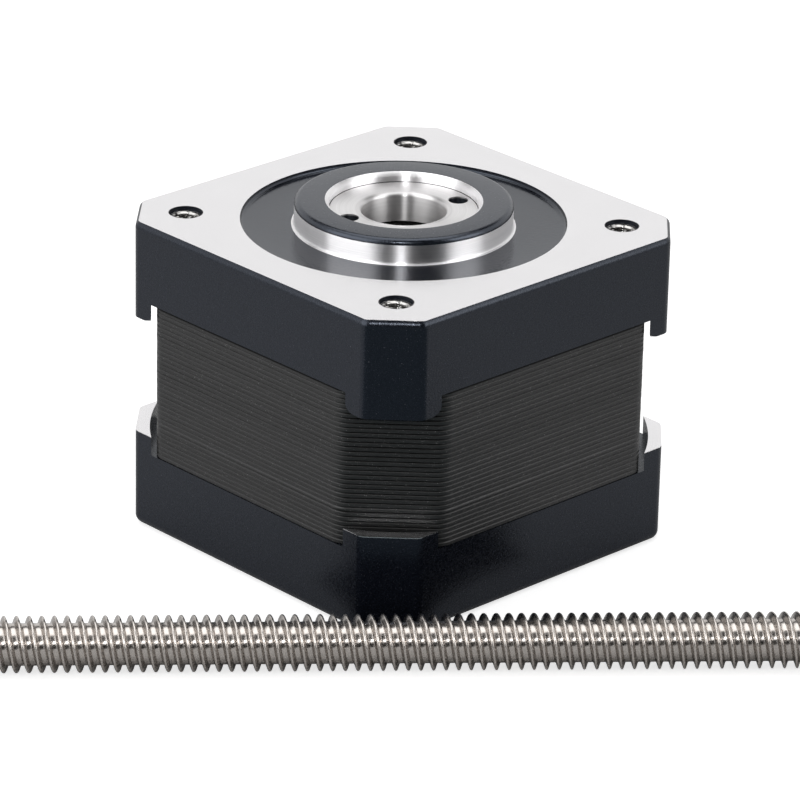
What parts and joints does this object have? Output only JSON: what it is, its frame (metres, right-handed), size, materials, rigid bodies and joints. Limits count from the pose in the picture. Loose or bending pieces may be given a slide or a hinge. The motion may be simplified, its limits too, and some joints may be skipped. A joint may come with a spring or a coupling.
{
  "type": "non-captive linear stepper motor",
  "caption": "Square-frame hybrid stepper motor with a hollow rotor and lead nut, and its separate two-start lead screw lying beside it.",
  "frame": {"origin": "centre of the machined mounting face, on the rotor axis, inside the pilot's wall", "axes": "+Z out of the mounting face along the rotor axis; X and Y along the flats of the square body, with the connector on +Y; the lead screw lies along (cos 40, -sin 40, 0) on the plane of the underside"},
  "size_m": [0.0826, 0.0834, 0.0354],
  "materials": {
    "bell_paint": "satin black paint on cast aluminium, face turned bright",
    "lamination_steel": "blackened silicon steel, fine lines",
    "bobbin_nylon": "natural nylon",
    "enamelled_copper": "enamelled copper wire",
    "rotor_iron": "ground soft iron",
    "magnet_alloy": "ground magnet",
    "bearing_steel": "polished bearing steel",
    "nut_polymer": "black lubricated polymer",
    "cage_brass": "pressed brass",
    "spring_steel": "spring steel",
    "turned_aluminium": "turned, clear",
    "zinc_steel": "zinc plated",
    "board_laminate": "green laminate",
    "tinned_pin": "tinned brass",
    "socket_nylon": "white nylon",
    "stainless_thread": "rolled stainless thread"
  },
  "bodies": {
    "motor_body": {"front_end_bell": "bell_paint", "rear_end_bell": "bell_paint", "stator_laminations": "lamination_steel", "front_insulator": "bobbin_nylon", "rear_insulator": "bobbin_nylon", "phase_a_coils": "enamelled_copper", "phase_b_coils": "enamelled_copper", "front_bearing_outer_ring": "bearing_steel", "rear_bearing_outer_ring": "bearing_steel", "preload_washer": "spring_steel", "bearing_retainer": "turned_aluminium", "assembly_screws": "zinc_steel", "winding_board": "board_laminate", "connector_pins": "tinned_pin", "connector_housing": "socket_nylon"},
    "rotor": {"rotor_front_cup": "rotor_iron", "rotor_rear_cup": "rotor_iron", "rotor_magnet": "magnet_alloy", "rotor_sleeve": "bearing_steel", "lead_nut": "nut_polymer", "front_spacer": "bearing_steel", "rear_spacer": "bearing_steel", "front_bearing_inner_ring": "bearing_steel", "rear_bearing_inner_ring": "bearing_steel"},
    "front_ball_set": {"front_bearing_balls": "bearing_steel", "front_bearing_cage": "cage_brass"},
    "rear_ball_set": {"rear_bearing_balls": "bearing_steel", "rear_bearing_cage": "cage_brass"},
    "screw": {"lead_screw": "stainless_thread"}
  },
  "joints": [
    {"name": "rotor_spin", "type": "hinge", "parent": "motor_body", "child": "rotor", "pos_m": [0, 0, -0.01655], "axis": [0, 0, 1], "range_deg": [-4572, 4572]},
    {"name": "front_ball_spin", "type": "hinge", "parent": "motor_body", "child": "front_ball_set", "pos_m": [0, 0, -0.0039], "axis": [0, 0, 1], "range_deg": [-2012.68, 2012.68]},
    {"name": "rear_ball_spin", "type": "hinge", "parent": "motor_body", "child": "rear_ball_set", "pos_m": [0, 0, -0.029], "axis": [0, 0, 1], "range_deg": [-2012.68, 2012.68]},
    {"name": "screw_feed", "type": "slide", "parent": "motor_body", "child": "screw", "axis": [0.766, -0.6428, 0], "range_m": [-0.031, 0.031]}
  ],
  "couplings": [
    {"joint": "front_ball_spin", "follows": "rotor_spin", "ratio": 0.44},
    {"joint": "rear_ball_spin", "follows": "rotor_spin", "ratio": 0.44},
    {"joint": "screw_feed", "follows": "rotor_spin", "m_per_rad": -0.00038808}
  ]
}
